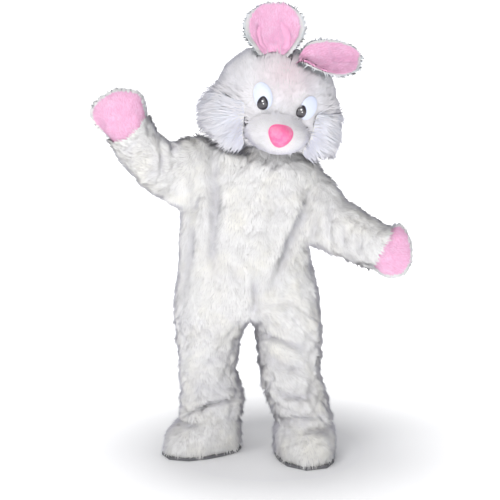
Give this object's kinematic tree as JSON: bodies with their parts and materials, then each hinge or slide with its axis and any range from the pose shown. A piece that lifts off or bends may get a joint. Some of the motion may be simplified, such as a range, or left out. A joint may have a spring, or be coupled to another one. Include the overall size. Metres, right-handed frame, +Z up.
{
  "type": "rabbit mascot costume",
  "caption": "Adult walk-around rabbit costume in long cream-white plush, with a big head, one flopped ear, pink ear linings and palms, and oversized boots.",
  "frame": {"origin": "middle of the shoulders at the root of the neck, where the suit hangs on the wearer", "axes": "+Z up to the ear tips, -Y the way the costume's front faces, +X towards the wearer's left"},
  "size_m": [1.291, 0.6456, 1.8575],
  "materials": {
    "eye_black": "polished",
    "eye_white": "smooth satin shell",
    "highlight": "polished",
    "nose_plush": "short hot pink pile",
    "pink_plush": "short pink pile",
    "ruff_plush": "long shaggy white pile",
    "sole_rubber": "matt",
    "white_plush": "long cream-white pile",
    "zip_cloth": "woven tape",
    "zip_metal": "brushed"
  },
  "bodies": {
    "costume": {"body_back_left": "white_plush", "body_back_right": "white_plush", "body_front_left": "white_plush", "body_front_right": "white_plush", "boot_sole_left": "sole_rubber", "boot_sole_right": "sole_rubber", "boot_upper_left": "white_plush", "boot_upper_right": "white_plush", "ear_back_left": "white_plush", "ear_back_right": "white_plush", "ear_inner_left": "pink_plush", "ear_inner_right": "pink_plush", "eye_white_left": "eye_white", "eye_white_right": "eye_white", "head_back": "white_plush", "head_front": "white_plush", "highlight_big_left": "highlight", "highlight_big_right": "highlight", "highlight_small_left": "highlight", "highlight_small_right": "highlight", "mitt_back_left": "white_plush", "mitt_back_right": "white_plush", "mitt_palm_left": "pink_plush", "mitt_palm_right": "pink_plush", "muzzle": "white_plush", "nose": "nose_plush", "pupil_left": "eye_black", "pupil_right": "eye_black", "ruff_left": "ruff_plush", "ruff_right": "ruff_plush", "sleeve_left": "white_plush", "sleeve_right": "white_plush", "tail": "white_plush", "zip_slider": "zip_metal", "zip_tape": "zip_cloth"},
    "tab": {"zip_tab": "zip_metal"}
  },
  "joints": [
    {"name": "zip_tab_hinge", "type": "hinge", "parent": "costume", "child": "tab", "pos_m": [-0.01496, 0.1741, -0.09387], "axis": [0.9695, 0.0234, -0.2439], "range_deg": [0, 150]}
  ]
}
